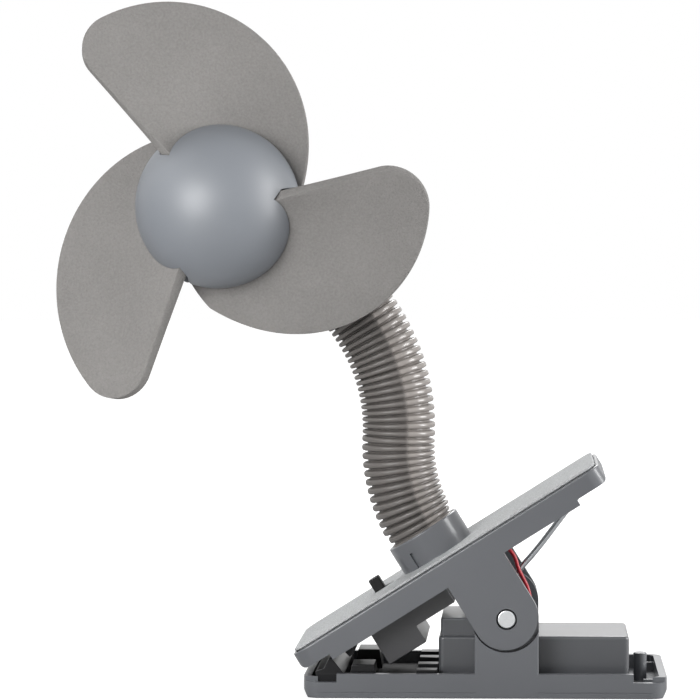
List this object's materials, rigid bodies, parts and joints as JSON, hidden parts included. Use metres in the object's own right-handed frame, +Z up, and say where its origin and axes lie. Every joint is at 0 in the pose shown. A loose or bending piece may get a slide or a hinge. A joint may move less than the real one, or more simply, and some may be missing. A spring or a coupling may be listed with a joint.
{
  "type": "clip fan",
  "caption": "Battery clip fan: soft petal blades on a dome hub, carried by a ribbed flexible neck on a spring clip that holds the cells.",
  "frame": {"origin": "centre of the lower jaw's bottom face, where it rests", "axes": "+Z up, +X along the lower jaw towards its squeeze end, -Y the way the fan looks"},
  "size_m": [0.1828, 0.0748, 0.2057],
  "materials": {
    "grey_plastic": "satin moulded",
    "textured_grey_plastic": "fine spark texture",
    "dark_plastic": "satin moulded",
    "black_grip": "smooth, slightly glossy",
    "black_plastic": "satin",
    "neck_plastic": "satin flexible",
    "hub_plastic": "satin",
    "blade_foam": "fine-celled foam sheet",
    "zinc_steel": "zinc plated",
    "spring_wire": "bright drawn wire",
    "nickel_strip": "nickel plated",
    "cell_jacket": "plain sleeve",
    "motor_can": "plated",
    "red_pvc": "smooth",
    "black_pvc": "smooth"
  },
  "bodies": {
    "base": {"base_tray": "grey_plastic", "lower_grip_pad": "black_grip", "hinge_pin": "zinc_steel", "torsion_spring": "spring_wire", "battery_cell_front": "cell_jacket", "battery_cell_rear": "cell_jacket", "contact_bridge": "nickel_strip", "contact_front": "nickel_strip", "contact_rear": "nickel_strip", "contact_spring_front": "spring_wire", "contact_spring_rear": "spring_wire"},
    "battery_door": {"battery_door": "grey_plastic", "door_screw": "zinc_steel"},
    "lever": {"lever_frame": "grey_plastic", "lever_top_cover": "textured_grey_plastic", "upper_grip_pad": "black_grip", "lever_inner_cover": "dark_plastic", "cover_screw_rear": "zinc_steel", "cover_screw_front": "zinc_steel", "neck_anchor": "dark_plastic", "switch_body": "nickel_strip", "supply_lead_red": "red_pvc", "supply_lead_black": "black_pvc"},
    "switch_knob": {"switch_knob": "black_plastic"},
    "neck": {"neck_hose": "neck_plastic", "neck_core_wire": "zinc_steel", "motor_lead_red": "red_pvc", "motor_lead_black": "black_pvc"},
    "head": {"motor_housing_rear": "grey_plastic", "motor_housing_front": "grey_plastic", "housing_screw_1": "zinc_steel", "housing_screw_2": "zinc_steel", "motor_can": "motor_can", "motor_end_cap": "dark_plastic"},
    "rotor": {"motor_shaft": "zinc_steel", "fan_hub_front": "hub_plastic", "fan_hub_rear": "hub_plastic", "fan_blade_1": "blade_foam", "fan_blade_2": "blade_foam", "fan_blade_3": "blade_foam"}
  },
  "joints": [
    {"name": "jaw_hinge", "type": "hinge", "parent": "base", "child": "lever", "pos_m": [0.0064, 0, 0.0234], "axis": [0, 1, 0], "range_deg": [0, 32], "stiffness_Nm_per_rad": 0.6, "springref_deg": -34.38, "deforming": ["torsion_spring", "supply_lead_red", "supply_lead_black"]},
    {"name": "battery_door_lift_off", "type": "slide", "parent": "base", "child": "battery_door", "axis": [0, 0, -1], "range_m": [0, 0.02]},
    {"name": "switch_slide", "type": "slide", "parent": "lever", "child": "switch_knob", "axis": [0.848, 0, 0.5299], "range_m": [0, 0.003]},
    {"name": "neck_lower_bend", "type": "hinge", "parent": "lever", "child": "neck", "pos_m": [-0.0267, 0, 0.0702], "axis": [0, 1, 0], "range_deg": [-30, 30], "deforming": ["neck_hose", "neck_core_wire", "motor_lead_red", "motor_lead_black"]},
    {"name": "neck_upper_bend", "type": "hinge", "parent": "neck", "child": "head", "pos_m": [-0.0448, 0, 0.1213], "axis": [0.7206, 0, 0.6934], "range_deg": [-35, 10]},
    {"name": "fan_spin", "type": "hinge", "parent": "head", "child": "rotor", "pos_m": [-0.07905, -0.025, 0.14556], "axis": [-0.1045, -0.9945, 0], "continuous": true}
  ]
}
